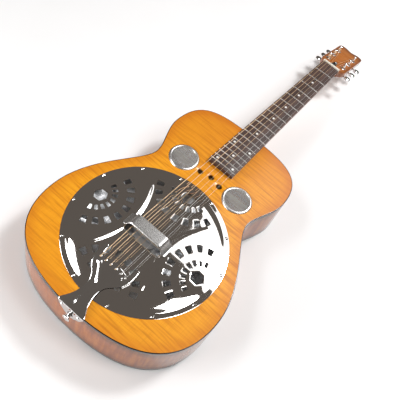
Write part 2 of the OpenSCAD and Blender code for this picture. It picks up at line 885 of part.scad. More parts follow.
module string_post(i) color(chrome) in_frame() tuner_frame(i)
  difference() {
    union() {
      translate([0, 0, key_z]) cylinder(r = 2.6, h = -head_t - key_z);
      translate([0, 0, -head_t - 0.6]) cylinder(r = post_r, h = head_t + 4.6);
      translate([0, 0, 4]) cylinder(r1 = post_r, r2 = waist_r, h = 1);
      translate([0, 0, 5]) cylinder(r = waist_r, h = 6);
      translate([0, 0, 11]) cylinder(r1 = waist_r, r2 = post_r, h = 1);
      translate([0, 0, 12]) cylinder(r = post_r, h = 1.6);
      translate([0, 0, 13.6]) cylinder(r1 = post_r, r2 = 1.8, h = 0.9);
      gear();
      translate([0, 0, key_z - 3]) cylinder(r = 2.7, h = 2);
    }
    translate([-5, 0, 11.2]) rotate([0, 90, 0]) cylinder(r = 0.9, h = 10);
    block([-3, -0.4, key_z - 4], [3, 0.4, key_z - 2.3]);
  }

// Worm thread: a trapezoid swept along a helix about the X axis, wound on the key's core
worm_turns = 3;
worm_steps = 20;
thread_in_r = worm_core_r / cos(180 / worm_steps) + 0.01;
function thread_section(k) =
  let (a = 360 * k / worm_steps,
       x = worm_pitch * (a - 180) / 360 + worm_pitch / 2 - worm_turns * worm_pitch / 2,
       inner = thread_in_r * [cos(a), sin(a)],
       outer = worm_out_r * [cos(a), sin(a)])
  [[x - 0.42, inner[0], inner[1]], [x - 0.22, outer[0], outer[1]],
   [x + 0.22, outer[0], outer[1]], [x + 0.42, inner[0], inner[1]]];

module worm_thread()
  sweep([for (k = [worm_turns * worm_steps:-1:0]) thread_section(k)], [[0, 1, 2, 3]]);

module tuner_key(i) color(chrome) in_frame() tuner_frame(i)
  translate([0, worm_y, key_z]) {
    rotate([0, 90, 0]) {
      translate([0, 0, -8.6]) cylinder(r = shaft_r, h = 4);
      translate([0, 0, -8.6]) cylinder(r = 3, h = 1.2);
      translate([0, 0, -4.8]) cylinder(r = worm_core_r, h = 9.6);
      translate([0, 0, 4.6]) cylinder(r = shaft_r, h = 12);
      translate([0, 0, 7.4]) cylinder(r = 3.2, h = 1.4);
    }
    worm_thread();
    translate([button_x, 0, 0])
      intersection() {
        rotate_extrude($fn = 64)
          polygon([[0, -button_t / 2], [6.6, -button_t / 2], [button_r - 0.5, -1.6], [button_r, 0],
                   [button_r - 0.5, 1.6], [6.6, button_t / 2], [0, button_t / 2]]);
        block([-6.2, -10, -4], [8.2, 10, 4]);
      }
  }

// ---- Strings ----

string_sides = 8;
wrap_turns = 3;
wrap_steps = 14;

// Ring of points about a place on a string, square to its direction
function string_ring(p, d, r) =
  let (across = cross(d, [0, 0, 1]) / norm(cross(d, [0, 0, 1])),
       upward = cross(across, d) / norm(d))
  [for (k = [0:string_sides - 1])
    p + r * (cos(360 * k / string_sides) * across - sin(360 * k / string_sides) * upward)];

// Direction at point k of a path: along the two stretches that meet there
function path_direction(path, k) =
  let (before = path[max(0, k - 1)], here = path[k], after = path[min(len(path) - 1, k + 1)],
       a = k > 0 ? (here - before) / norm(here - before) : [0, 0, 0],
       b = k < len(path) - 1 ? (after - here) / norm(after - here) : [0, 0, 0])
  (a + b) / norm(a + b);

// A point of the headstock's frame, in the plate frame
function from_head(p) =
  let (a = neck_tilt + head_pitch)
  [p[0], scale_len + nut_t + p[1] * cos(a) + p[2] * sin(a),
   neck_z(scale_len + nut_t) - p[1] * sin(a) + p[2] * cos(a)];

function string_side(i) = i <= 3 ? 1 : -1;
function string_place(i) = i <= 3 ? i - 1 : 6 - i;

// Turns down the post, from where the string meets its inner side
function wraps(i) =
  let (r = string_r[i - 1], wrap_r = waist_r + 0.35 + r, side = string_side(i))
  [for (k = [0:wrap_turns * wrap_steps])
    let (a = 360 * k / wrap_steps)
    from_head([
      side * (post_x - wrap_r * cos(a)),
      first_post + string_place(i) * post_pitch + wrap_r * sin(a),
      waist_low_z + r + (2 * r + 0.06) * (wrap_turns - k / wrap_steps)])];

// A place on a string that lies on the tailpiece
function on_tail(i, y) =
  [string_x(i, bridge_spread), y, tail_z(y) + string_r[i - 1] + 0.05];

// Where each string leaves the tailpiece's front edge
tail_edge_y = [-78, -76.5, -74.5];
function tail_edge(i) = on_tail(i, tail_edge_y[min(i, 7 - i) - 1]);

// Axis of a string's ball end, between the cover plate and the tailpiece
ball_r = 1.3;
ball_z = 9.73;
function ball_place(i) = [string_x(i, bridge_spread), string_hole_y - 1, ball_z];

nut_point = 5;
function string_path(i) = concat(
  [ball_place(i) + [0, 0.05, ball_r + 0.1], on_tail(i, string_hole_y - 0.6) - [0, 0, 1.1],
   on_tail(i, string_hole_y + 0.8), tail_edge(i),
   [string_x(i, bridge_spread), 0, saddle_z + 0.1],
   [string_x(i, nut_spread), scale_len + nut_t / 2, nut_string_z(i)]],
  wraps(i));

// Ball end under the tailpiece, run over the saddle and the nut, and turns round the post
module guitar_string(i) color(i <= 2 ? "silver" : "peru") in_frame() {
  path = string_path(i);
  rings = [for (k = [0:len(path) - 1]) string_ring(path[k], path_direction(path, k), string_r[i - 1])];
  sweep(rings, all_points(rings[0]));
  translate(ball_place(i) - [1.6, 0, 0]) rotate([0, 90, 0]) cylinder(r = ball_r, h = 3.2);
}

top_plate();
back_plate();
rim();
top_binding();
back_binding();
linings();
neck_block();
tail_block();
soundwell();
back_braces();
cone();
spider_bridge();
saddle_inserts();
tension_screw();
coverplate();
hand_rest();
coverplate_screws();
bass_bezel();
treble_bezel();
bass_screen();
treble_screen();
neck();
headstock();
fretboard();
frets();
fret_markers();
side_dots();
nut();
truss_rod();
truss_rod_nut();
truss_rod_cover();
truss_cover_screws();
tailpiece();
tailpiece_screws();
strap_button();
tuner_plates();
tuner_bushings();
tuner_screws();
guitar_string(1);  // string_1
guitar_string(2);  // string_2
guitar_string(3);  // string_3
guitar_string(4);  // string_4
guitar_string(5);  // string_5
guitar_string(6);  // string_6
string_post(1);  // string_post_1
string_post(2);  // string_post_2
string_post(3);  // string_post_3
string_post(4);  // string_post_4
string_post(5);  // string_post_5
string_post(6);  // string_post_6
tuner_key(1);  // tuner_key_1
tuner_key(2);  // tuner_key_2
tuner_key(3);  // tuner_key_3
tuner_key(4);  // tuner_key_4
tuner_key(5);  // tuner_key_5
tuner_key(6);  // tuner_key_6
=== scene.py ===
"""Resonator guitar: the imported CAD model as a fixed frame, with its visible shells rebuilt as fine meshes.

Shapes are worked out in millimetres in the plate frame, whose origin is the middle of the cover plate on
the outside of the top: +X to the treble side, +Y to the headstock, +Z out of the top. put() turns that
into the part's own frame in metres.
"""
import math

import bpy
import numpy as np
from mathutils import Matrix, Vector
from mathutils.geometry import delaunay_2d_cdt


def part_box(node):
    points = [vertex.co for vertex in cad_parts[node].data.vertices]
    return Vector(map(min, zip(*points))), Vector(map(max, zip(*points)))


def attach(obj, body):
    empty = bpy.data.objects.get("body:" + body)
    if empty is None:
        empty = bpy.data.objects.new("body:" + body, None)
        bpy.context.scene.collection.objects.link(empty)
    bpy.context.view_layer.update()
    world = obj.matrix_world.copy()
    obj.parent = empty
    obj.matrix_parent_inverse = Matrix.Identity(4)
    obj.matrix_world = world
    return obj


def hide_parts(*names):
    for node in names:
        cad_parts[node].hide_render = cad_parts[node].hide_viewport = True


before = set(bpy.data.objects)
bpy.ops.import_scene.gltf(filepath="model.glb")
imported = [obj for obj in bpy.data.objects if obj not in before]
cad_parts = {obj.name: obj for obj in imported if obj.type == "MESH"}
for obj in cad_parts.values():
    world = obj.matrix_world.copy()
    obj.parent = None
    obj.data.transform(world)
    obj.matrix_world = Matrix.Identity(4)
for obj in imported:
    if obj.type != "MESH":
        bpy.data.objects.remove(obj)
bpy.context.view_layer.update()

# ---------------------------------------------------------------- sizes, in millimetres

MM = 0.001
plate_low, plate_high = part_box("coverplate")
PLATE = Vector((0, (plate_low.y + plate_high.y) / 2, plate_low.z))
BODY_DEPTH = PLATE.z / MM

TAIL_Y = -173.5
NECK_END_Y = 320
LOWER_HALF_W, LOWER_Y = 180, -37
WAIST_HALF_W, WAIST_Y = 108, 149
UPPER_HALF_W, UPPER_Y = 131, 234
BODY_CURVES = [
    [(0, TAIL_Y), (120, TAIL_Y), (LOWER_HALF_W, LOWER_Y - 93), (LOWER_HALF_W, LOWER_Y)],
    [(LOWER_HALF_W, LOWER_Y), (LOWER_HALF_W, LOWER_Y + 86), (WAIST_HALF_W, WAIST_Y - 36),
     (WAIST_HALF_W, WAIST_Y)],
    [(WAIST_HALF_W, WAIST_Y), (WAIST_HALF_W, WAIST_Y + 24), (UPPER_HALF_W, UPPER_Y - 31),
     (UPPER_HALF_W, UPPER_Y)],
    [(UPPER_HALF_W, UPPER_Y), (UPPER_HALF_W, UPPER_Y + 78), (84, NECK_END_Y), (0, NECK_END_Y)],
]
PLATE_T = 3.4
RIM_T = 3.2
BINDING_W = 1.6
BINDING_H = 6

PLATE_R = 142
FLANGE_R = 134
WELL_R = 134
SCREEN_HOLE = (63.5, 175)
SCREEN_HOLE_R = 26.4
SMALL_HOLES = [(-22.5, 174), (0, 179), (22.5, 174)]
SMALL_HOLE_R = 5.8

SCALE = 635
JOINT_Y = SCALE / 2
NUT_W, BOARD_END_W, BOARD_END_Y = 43, 57, 204
BOARD_T = 6
NUT_T = 5
NECK_TILT = math.radians(1.2)
HEAD_PITCH = math.radians(15)
HEAD_LEN, HEAD_W, HEAD_T = 154, 67, 13.5
FIRST_POST, POST_PITCH, POST_X = 33, 35, 21
POST_HOLE_R = 4.4
STRING_SPREAD, STRING_PITCH = 54, 10.8

# ---------------------------------------------------------------- mesh helpers


def put(points):
    """Plate-frame millimetres to row-frame metres."""
    return np.asarray(points, float) * MM + np.array(PLATE)


def make_object(name, points, faces, material, body="root", smooth_angle=40):
    mesh = bpy.data.meshes.new(name)
    mesh.from_pydata([tuple(p) for p in put(points)], [], [tuple(f) for f in faces])
    mesh.validate()
    mesh.update()
    mesh.shade_smooth()
    mesh.set_sharp_from_angle(angle=math.radians(smooth_angle))
    obj = bpy.data.objects.new(name, mesh)
    bpy.context.scene.collection.objects.link(obj)
    obj.data.materials.append(material)
    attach(obj, body)
    return obj


def bezier(p, t):
    p = np.asarray(p, float)
    t = np.asarray(t, float)[:, None]
    return (1 - t) ** 3 * p[0] + 3 * (1 - t) ** 2 * t * p[1] + 3 * (1 - t) * t * t * p[2] + t ** 3 * p[3]


def curve_chain(curves, steps):
    """Points along joined curves, without the last end."""
    t = np.arange(steps) / steps
    return np.vstack([bezier(c, t) for c in curves])


def mirrored(half):
    """Closed loop from its right half, which starts and ends on the Y axis."""
    half = np.asarray(half, float)
    return np.vstack([half, (half[1:-1] * [-1, 1])[::-1]])


def inset(loop, distance):
    """Closed anticlockwise loop moved inwards along its normals."""
    ahead = np.roll(loop, -1, axis=0) - loop
    behind = loop - np.roll(loop, 1, axis=0)
    ahead /= np.linalg.norm(ahead, axis=1)[:, None]
    behind /= np.linalg.norm(behind, axis=1)[:, None]
    tangent = ahead + behind
    tangent /= np.linalg.norm(tangent, axis=1)[:, None]
    normal = np.stack([-tangent[:, 1], tangent[:, 0]], 1)
    stretch = 1 / np.maximum(0.5, np.sum(normal * np.stack([-ahead[:, 1], ahead[:, 0]], 1), axis=1))
    return loop + normal * (distance * stretch)[:, None]


def circle(x, y, r, steps=48):
    a = np.arange(steps) * 2 * math.pi / steps
    return np.stack([x + r * np.cos(a), y + r * np.sin(a)], 1)


def rounded_polygon(corners, r, steps=4):
    """Closed loop through corners, each rounded to radius r."""
    corners = [np.asarray(c, float) for c in corners]
    out = []
    for k, c in enumerate(corners):
        a = corners[k - 1] - c
        b = corners[(k + 1) % len(corners)] - c
        a /= np.linalg.norm(a)
        b /= np.linalg.norm(b)
        half = math.acos(max(-1, min(1, a @ b))) / 2
        reach = r / math.tan(half)
        start, end = c + a * reach, c + b * reach
        for s in range(steps + 1):
            t = s / steps
            out.append((1 - t) ** 2 * start + 2 * (1 - t) * t * c + t * t * end)
    return np.array(out)


def inside(points, loop):
    """Which points lie inside a closed loop."""
    x, y = points[:, 0][:, None], points[:, 1][:, None]
    x1, y1 = loop[:, 0][None], loop[:, 1][None]
    x2, y2 = np.roll(loop[:, 0], -1)[None], np.roll(loop[:, 1], -1)[None]
    flat = np.where(y2 == y1, 1e-12, y2 - y1)
    hits = ((y1 > y) != (y2 > y)) & (x < (x2 - x1) * (y - y1) / flat + x1)
    return hits.sum(1) % 2 == 1


def distance_to(points, loops):
    """Distance from each point to the nearest of some closed loops."""
    best = np.full(len(points), 1e9)
    for loop in loops:
        low, high = loop.min(0) - 12, loop.max(0) + 12
        near = np.all((points > low) & (points < high), axis=1)
        if not near.any():
            continue
        p = points[near][:, None, :]
        a, b = loop[None], np.roll(loop, -1, axis=0)[None]
        t = np.clip(((p - a) * (b - a)).sum(2) / np.maximum(1e-12, ((b - a) ** 2).sum(2)), 0, 1)
        d = np.linalg.norm(p - (a + t[..., None] * (b - a)), axis=2).min(1)
        best[near] = np.minimum(best[near], d)
    return best


def flat_sheet(outer, holes, spacing, rings=(), clear=0.6):
    """Triangulated sheet: outer loop, holes, extra loops inside it and a grid of points.
    Returns points, triangles and the directed edges along its borders."""
    loops = [outer] + list(holes)
    low, high = outer.min(0), outer.max(0)
    xs = np.arange(low[0], high[0] + spacing, spacing)
    ys = np.arange(low[1], high[1] + spacing, spacing * 0.866)
    grid = np.array([(x + (k % 2) * spacing / 2, y) for k, y in enumerate(ys) for x in xs])
    keep = inside(grid, outer)
    for hole in holes:
        keep &= ~inside(grid, hole)
    grid = grid[keep]
    grid = grid[distance_to(grid, loops + list(rings)) > clear * spacing]
    points, edges = [], []
    for loop in loops + list(rings):
        base = len(points)
        points += [tuple(p) for p in loop]
        edges += [(base + k, base + (k + 1) % len(loop)) for k in range(len(loop))]
    points += [tuple(p) for p in grid]
    out = delaunay_2d_cdt([Vector(p) for p in points], edges, [], 0, 1e-5)
    verts = np.array([tuple(v) for v in out[0]])
    tris = np.array([f for f in out[2] if len(f) == 3])
    centre = verts[tris].mean(1)
    keep = inside(centre, outer)
    for hole in holes:
        keep &= ~inside(centre, hole)
    tris = tris[keep]
    a, b, c = verts[tris[:, 0]], verts[tris[:, 1]], verts[tris[:, 2]]
    turn = (b[:, 0] - a[:, 0]) * (c[:, 1] - a[:, 1]) - (b[:, 1] - a[:, 1]) * (c[:, 0] - a[:, 0])
    tris[turn < 0] = tris[turn < 0][:, ::-1]
    used = np.unique(tris)
    index = np.full(len(verts), -1)
    index[used] = np.arange(len(used))
    verts, tris = verts[used], index[tris]
    directed = {(t[k], t[(k + 1) % 3]) for t in tris.tolist() for k in range(3)}
    border = [e for e in directed if (e[1], e[0]) not in directed]
    return verts, tris, border


def solid_sheet(verts, tris, border, top, bottom):
    """Closed solid between two surfaces over a flat sheet; top and bottom are its points in 3-D."""
    n = len(verts)
    faces = tris.tolist() + [[n + i for i in t[::-1]] for t in tris.tolist()]
    faces += [[a, n + a, n + b, b] for a, b in sorted(border)]
    return np.vstack([top, bottom]), faces


def ring_solid(profile, loops):
    """Closed band: a profile of (inset, height) points, anticlockwise, carried along a closed loop."""
    n = len(loops[0])
    m = len(profile)
    points = np.vstack([
        np.column_stack([loops[k], np.full(n, profile[k][1])]) for k in range(m)
    ])
    faces = []
    for k in range(m):
        for j in range(n):
            a, b = k * n + j, k * n + (j + 1) % n
            c, d = ((k + 1) % m) * n + (j + 1) % n, ((k + 1) % m) * n + j
            faces.append((a, b, c, d))
    return points, faces


def lofted(rings):
    """Closed solid through rings with the same number of points, with fan caps."""
    n = len(rings[0])
    points = np.vstack(rings + [rings[0].mean(0)[None], rings[-1].mean(0)[None]])
    faces = []
    for k in range(len(rings) - 1):
        for j in range(n):
            faces.append((k * n + j, k * n + (j + 1) % n, (k + 1) * n + (j + 1) % n, (k + 1) * n + j))
    first, last = len(rings) * n, len(rings) * n + 1
    base = (len(rings) - 1) * n
    for j in range(n):
        faces.append((first, (j + 1) % n, j))
        faces.append((last, base + j, base + (j + 1) % n))
    return points, faces


def turned(profile, steps=96):
    """Closed lathe solid about Z from a profile of (radius, height) points that goes round once."""
    m = len(profile)
    points, faces = [], []
    for k in range(steps):
        a = 2 * math.pi * k / steps
        points += [(r * math.cos(a), r * math.sin(a), z) for r, z in profile]
    for k in range(steps):
        for j in range(m):
            a, b = k * m + j, k * m + (j + 1) % m
            c, d = ((k + 1) % steps) * m + (j + 1) % m, ((k + 1) % steps) * m + j
            faces.append((a, d, c, b))
    return np.array(points, float), faces


def tube(path, radius, sides=12, closed=False):
    """Round tube along a path, with its rings kept from twisting."""
    path = np.asarray(path, float)
    ahead = np.roll(path, -1, axis=0) - path
    behind = path - np.roll(path, 1, axis=0)
    if not closed:
        ahead[-1] = behind[-1]
        behind[0] = ahead[0]
    ahead /= np.linalg.norm(ahead, axis=1)[:, None]
    behind /= np.linalg.norm(behind, axis=1)[:, None]
    along = ahead + behind
    along /= np.linalg.norm(along, axis=1)[:, None]
    side = np.cross(along[0], [0.01, 0, 1])
    side /= np.linalg.norm(side)
    angles = np.arange(sides) * 2 * math.pi / sides
    rings = []
    for p, d in zip(path, along):
        side = side - d * (side @ d)
        side /= np.linalg.norm(side)
        up = np.cross(d, side)
        rings.append(p + radius * (np.cos(angles)[:, None] * side + np.sin(angles)[:, None] * up))
    return lofted(rings)


def merged(parts):
    """Several (points, faces) pairs as one."""
    points, faces, base = [], [], 0
    for p, f in parts:
        points.append(np.asarray(p, float))
        faces += [[i + base for i in face] for face in f]
        base += len(p)
    return np.vstack(points), faces


def add_attribute(obj, name, values):
    """Stores a number on every vertex, for a material to read."""
    layer = obj.data.attributes.new(name, "FLOAT", "POINT")
    layer.data.foreach_set("value", np.asarray(values, np.float32))


def smooth(t):
    t = np.clip(t, 0, 1)
    return t * t * (3 - 2 * t)


# ---------------------------------------------------------------- materials


class Nodes:
    """Short way to build a node material."""

    def __init__(self, name):
        self.material = bpy.data.materials.new(name)
        self.material.use_nodes = True
        self.tree = self.material.node_tree
        self.tree.nodes.clear()
        self.output = self.tree.nodes.new("ShaderNodeOutputMaterial")
        self.shader = self.tree.nodes.new("ShaderNodeBsdfPrincipled")
        self.tree.links.new(self.shader.outputs[0], self.output.inputs["Surface"])
        self.place = self.tree.nodes.new("ShaderNodeTexCoord").outputs["Object"]

    def set(self, **values):
        for key, value in values.items():
            self.shader.inputs[key.replace("_", " ")].default_value = value
        return self

    def link(self, out, socket):
        self.tree.links.new(out, socket)

    def shade(self, key, out):
        self.link(out, self.shader.inputs[key])

    def node(self, kind, inputs=None, **settings):
        made = self.tree.nodes.new(kind)
        for key, value in settings.items():
            setattr(made, key, value)
        for key, value in (inputs or {}).items():
            if isinstance(value, bpy.types.NodeSocket):
                self.link(value, made.inputs[key])
            else:
                made.inputs[key].default_value = value
        return made

    def scaled(self, x, y, z, turn=(0, 0, 0)):
        """Object coordinates stretched along each axis."""
        return self.node("ShaderNodeMapping", {"Vector": self.place, "Scale": (x, y, z),
                                               "Rotation": turn}).outputs[0]

    def noise(self, vector, scale=1.0, detail=3.0, roughness=0.5, distortion=0.0):
        inputs = {"Vector": vector, "Scale": scale, "Detail": detail, "Roughness": roughness,
                  "Distortion": distortion}
        return self.node("ShaderNodeTexNoise", inputs).outputs["Fac"]

    def ramp(self, value, stops):
        made = self.node("ShaderNodeValToRGB", {"Fac": value})
        elements = made.color_ramp.elements
        elements[0].position, elements[0].color = stops[0][0], rgba(stops[0][1])
        elements[1].position, elements[1].color = stops[-1][0], rgba(stops[-1][1])
        for position, colour in stops[1:-1]:
            elements.new(position).color = rgba(colour)
        return made.outputs["Color"]

    def remap(self, value, low, high, to_low, to_high):
        return self.node("ShaderNodeMapRange", {"Value": value, "From Min": low, "From Max": high,
                                                "To Min": to_low, "To Max": to_high}).outputs["Result"]

    def math(self, operation, a, b=0.0, c=0.0):
        return self.node("ShaderNodeMath", {0: a, 1: b, 2: c}, operation=operation).outputs[0]

    def mix(self, factor, a, b, blend="MIX"):
        made = self.tree.nodes.new("ShaderNodeMix")
        made.data_type = "RGBA"
        made.blend_type = blend
        for key, value in ((0, factor), (6, a), (7, b)):
            if isinstance(value, bpy.types.NodeSocket):
                self.link(value, made.inputs[key])
            else:
                made.inputs[key].default_value = value if key == 0 else rgba(value)
        return made.outputs[2]

    def bump(self, height, strength, distance):
        made = self.node("ShaderNodeBump", {"Height": height, "Strength": strength, "Distance": distance})
        self.shade("Normal", made.outputs[0])

    def attribute(self, name):
        return self.node("ShaderNodeAttribute", attribute_name=name).outputs["Fac"]


def rgba(colour):
    return tuple(colour) if len(colour) == 4 else (*colour, 1.0)


def flamed_maple(name, light, middle, dark, burst, stripe_pitch=7.0, stripe_depth=0.5, grain_axis="y"):
    """Lacquered maple: stripes of flame across the grain, fine grain along it and a darker burst."""
    n = Nodes(name)
    across = 1000 / stripe_pitch
    n.set(Coat_Weight=1.0, Coat_Roughness=0.13, Coat_IOR=1.45, Specular_IOR_Level=0.2)
    sway = n.noise(n.scaled(9, 5, 5), 1.0, 2)
    if grain_axis == "y":
        stripes = n.noise(n.scaled(16, across, 20), 1.0, 2.5, 0.55, 0.25)
        grain = n.noise(n.scaled(1500, 22, 1500), 1.0, 3, 0.6)
    else:
        stripes = n.noise(n.scaled(across, across, 14), 1.0, 2.5, 0.55, 0.25)
        grain = n.noise(n.scaled(20, 20, 1400), 1.0, 3, 0.6)
    flame = n.remap(stripes, 0.36, 0.64, 0.0, 1.0)
    depth = n.remap(sway, 0.3, 0.7, stripe_depth * 0.5, stripe_depth * 1.3)
    flame = n.math("MULTIPLY_ADD", n.math("SUBTRACT", flame, 0.5), depth, 0.5)
    wood = n.ramp(flame, [(0.0, dark), (0.5, middle), (1.0, light)])
    wood = n.mix(n.remap(grain, 0.45, 0.75, 0.0, 0.35), wood, [c * 0.62 for c in middle])
    wood = n.mix(n.attribute("burst"), wood, burst)
    n.shade("Base Color", wood)
    n.shade("Roughness", n.remap(grain, 0.3, 0.7, 0.4, 0.55))
    n.bump(n.noise(n.scaled(90, 90, 90), 1.0, 2), 0.03, 0.0002)
    return n.material


def chrome(name, tint=(0.80, 0.80, 0.81), rough=0.045):
    """Polished plate with faint haze, fingerprints and hairline wear."""
    n = Nodes(name)
    n.set(Metallic=1.0, Base_Color=rgba(tint))
    haze = n.noise(n.scaled(28, 28, 28), 1.0, 4, 0.6)
    hairs = n.noise(n.scaled(2200, 60, 400, (0, 0, 0.5)), 1.0, 2)
    wear = n.math("ADD", n.remap(haze, 0.35, 0.75, rough * 0.6, rough * 2.2),
                  n.remap(hairs, 0.62, 0.8, 0.0, 0.06))
    n.shade("Roughness", wear)
    n.bump(n.noise(n.scaled(45, 45, 45), 1.0, 2), 0.04, 0.0002)
    return n.material


def rosewood(name):
    n = Nodes(name)
    n.set(Roughness=0.45, Coat_Weight=0.12, Coat_Roughness=0.35)
    bands = n.noise(n.scaled(95, 6, 95), 1.0, 4, 0.6, 0.4)
    pores = n.noise(n.scaled(2600, 110, 2600), 1.0, 2)
    wood = n.ramp(bands, [(0.3, (0.028, 0.014, 0.011)), (0.5, (0.062, 0.031, 0.024)),
                          (0.7, (0.115, 0.058, 0.042))])
    wood = n.mix(n.remap(pores, 0.56, 0.68, 0.0, 0.75), wood, (0.012, 0.007, 0.006))
    n.shade("Base Color", wood)
    n.shade("Roughness", n.remap(bands, 0.3, 0.7, 0.36, 0.52))
    n.bump(pores, 0.25, 0.0002)
    return n.material


def plain_wood(name, light, dark):
    n = Nodes(name)
    n.set(Roughness=0.6)
    grain = n.noise(n.scaled(300, 14, 300), 1.0, 4, 0.6)
    n.shade("Base Color", n.ramp(grain, [(0.3, dark), (0.7, light)]))
    n.bump(grain, 0.2, 0.0003)
    return n.material


def brushed(name, colour, rough, stretch=(1200, 60, 1200), depth=0.08):
    n = Nodes(name)
    n.set(Metallic=1.0)
    lines = n.noise(n.scaled(*stretch), 1.0, 3, 0.6)
    n.shade("Base Color", n.ramp(lines, [(0.3, [c * 0.86 for c in colour]), (0.7, colour)]))
    n.shade("Roughness", n.remap(lines, 0.3, 0.7, rough * 0.75, rough * 1.3))
    n.bump(lines, depth, 0.0001)
    return n.material


def gloss(name, colour, rough, mottling=0.12, depth=0.03):
    """Plastic, bone or pearl with a faint mottling."""
    n = Nodes(name)
    n.set(Roughness=rough, Coat_Weight=0.5, Coat_Roughness=rough * 0.5)
    cloud = n.noise(n.scaled(180, 180, 180), 1.0, 4, 0.6)
    n.shade("Base Color", n.ramp(cloud, [(0.3, [c * (1 - mottling) for c in colour]), (0.7, colour)]))
    n.shade("Roughness", n.remap(cloud, 0.3, 0.7, rough * 0.8, rough * 1.25))
    n.bump(cloud, depth, 0.0002)
    return n.material


def pearl(name):
    n = Nodes(name)
    n.set(Roughness=0.2, Coat_Weight=0.8, Coat_Roughness=0.05)
    swirl = n.noise(n.scaled(260, 260, 260), 1.0, 3, 0.5, 1.6)
    n.shade("Base Color", n.ramp(swirl, [(0.3, (0.62, 0.66, 0.64)), (0.5, (0.86, 0.85, 0.80)),
                                         (0.7, (0.80, 0.74, 0.78))]))
    n.bump(swirl, 0.05, 0.0001)
    return n.material


def wound_wire(name, colour):
    """Bronze winding: fine turns along the string; painted shade darkens the grooves between them."""
    n = Nodes(name)
    n.set(Metallic=1.0)
    turns = n.node("ShaderNodeTexWave", {"Vector": n.place, "Scale": 560.0, "Distortion": 0.0},
                   bands_direction="Y").outputs["Fac"]
    tone = n.noise(n.scaled(400, 25, 400), 1.0, 2)
    metal = n.ramp(tone, [(0.3, [c * 0.8 for c in colour]), (0.7, colour)])
    # painted shade: the base colour darkens in the grooves between the winding turns
    n.shade("Base Color", n.mix(n.remap(turns, 0.0, 0.5, 0.35, 0.0), metal, [c * 0.35 for c in colour]))
    n.shade("Roughness", n.remap(tone, 0.3, 0.7, 0.34, 0.46))
    n.bump(turns, 0.5, 0.00008)
    return n.material


top_maple = flamed_maple("top_maple", (0.86, 0.375, 0.012), (0.77, 0.295, 0.007), (0.50, 0.155, 0.003),
                         (0.50, 0.120, 0.003), 4.4, 0.6)
side_maple = flamed_maple("side_maple", (0.50, 0.150, 0.012), (0.36, 0.092, 0.006), (0.22, 0.048, 0.003),
                          (0.07, 0.014, 0.002), 8.0, 0.6, "z")
back_maple = flamed_maple("back_maple", (0.48, 0.145, 0.012), (0.34, 0.088, 0.006), (0.20, 0.045, 0.003),
                          (0.06, 0.012, 0.002), 8.0, 0.65)
neck_maple = flamed_maple("neck_maple", (0.62, 0.215, 0.020), (0.48, 0.140, 0.010), (0.32, 0.080, 0.005),
                          (0.13, 0.026, 0.003), 9.0, 0.4)
plate_chrome = chrome("plate_chrome", (0.86, 0.84, 0.82), 0.03)
small_chrome = chrome("small_chrome", (0.87, 0.87, 0.87), 0.05)
screen_wire = brushed("screen_wire", (0.66, 0.63, 0.60), 0.42)
board_wood = rosewood("board_wood")
fret_wire = brushed("fret_wire", (0.62, 0.60, 0.57), 0.3, (60, 1200, 1200))
satin_chrome = brushed("satin_chrome", (0.84, 0.84, 0.84), 0.27, (900, 9000, 9000), 0.01)
dot_pearl = pearl("dot_pearl")
black_binding = gloss("black_binding", (0.012, 0.011, 0.012), 0.14)
black_plastic = gloss("black_plastic", (0.010, 0.010, 0.011), 0.10)
nut_bone = gloss("nut_bone", (0.86, 0.82, 0.72), 0.32, 0.08)
raw_wood = plain_wood("raw_wood", (0.62, 0.44, 0.24), (0.46, 0.30, 0.15))
saddle_wood = plain_wood("saddle_wood", (0.70, 0.52, 0.30), (0.55, 0.38, 0.20))
spun_aluminium = brushed("spun_aluminium", (0.72, 0.73, 0.75), 0.30)
cast_aluminium = brushed("cast_aluminium", (0.62, 0.63, 0.65), 0.5, (220, 220, 220))
bright_steel = brushed("bright_steel", (0.60, 0.60, 0.62), 0.25)
turned_brass = brushed("turned_brass", (0.80, 0.56, 0.22), 0.25)
plain_wire = brushed("plain_wire", (0.95, 0.94, 0.92), 0.36, (2400, 80, 2400))
bronze_wire = wound_wire("bronze_wire", (0.98, 0.72, 0.46))

# ---------------------------------------------------------------- body


def body_loop(distance=0.0, steps=48):
    half = np.vstack([curve_chain(BODY_CURVES, steps), [(0, NECK_END_Y)]])
    return inset(mirrored(half), distance)


def burst_amount(edge_distance, reach, strength):
    """How dark the burst is at a distance from the edge, where it's deepest."""
    return strength * (1 - smooth(edge_distance / reach)) ** 1.3


def build_top():
    outer = body_loop(BINDING_W + 0.02)
    holes = [circle(0, 0, WELL_R, 160)]
    holes += [circle(side * SCREEN_HOLE[0], SCREEN_HOLE[1], SCREEN_HOLE_R, 72) for side in (-1, 1)]
    holes += [circle(x, y, SMALL_HOLE_R, 40) for x, y in SMALL_HOLES]
    rings = [circle(x, y, SMALL_HOLE_R + 0.6, 40) for x, y in SMALL_HOLES]
    verts, tris, border = flat_sheet(outer, holes, 6.0, rings)
    hole_edge = distance_to(verts, holes[3:])
    sink = -0.45 * (1 - np.clip(hole_edge / 0.6, 0, 1)) ** 2
    top = np.column_stack([verts, sink])
    bottom = np.column_stack([verts, np.full(len(verts), -PLATE_T)])
    points, faces = solid_sheet(verts, tris, border, top, bottom)
    obj = make_object("maple_top", points, faces, top_maple)
    edge = distance_to(points[:, :2], [outer])
    neck_side = smooth((points[:, 1] - 120) / 190)
    add_attribute(obj, "burst", np.clip(burst_amount(edge, 26, 0.42) + 0.34 * neck_side, 0, 0.75))
    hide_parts("top_plate")


def build_back():
    outer = body_loop(BINDING_W + 0.02)
    verts, tris, border = flat_sheet(outer, [], 8.0)
    top = np.column_stack([verts, np.full(len(verts), PLATE_T - BODY_DEPTH)])
    bottom = np.column_stack([verts, np.full(len(verts), -BODY_DEPTH)])
    points, faces = solid_sheet(verts, tris, border, top, bottom)
    obj = make_object("maple_back", points, faces, back_maple)
    edge = distance_to(points[:, :2], [outer])
    add_attribute(obj, "burst", burst_amount(edge, 60, 0.85))
    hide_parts("back_plate")


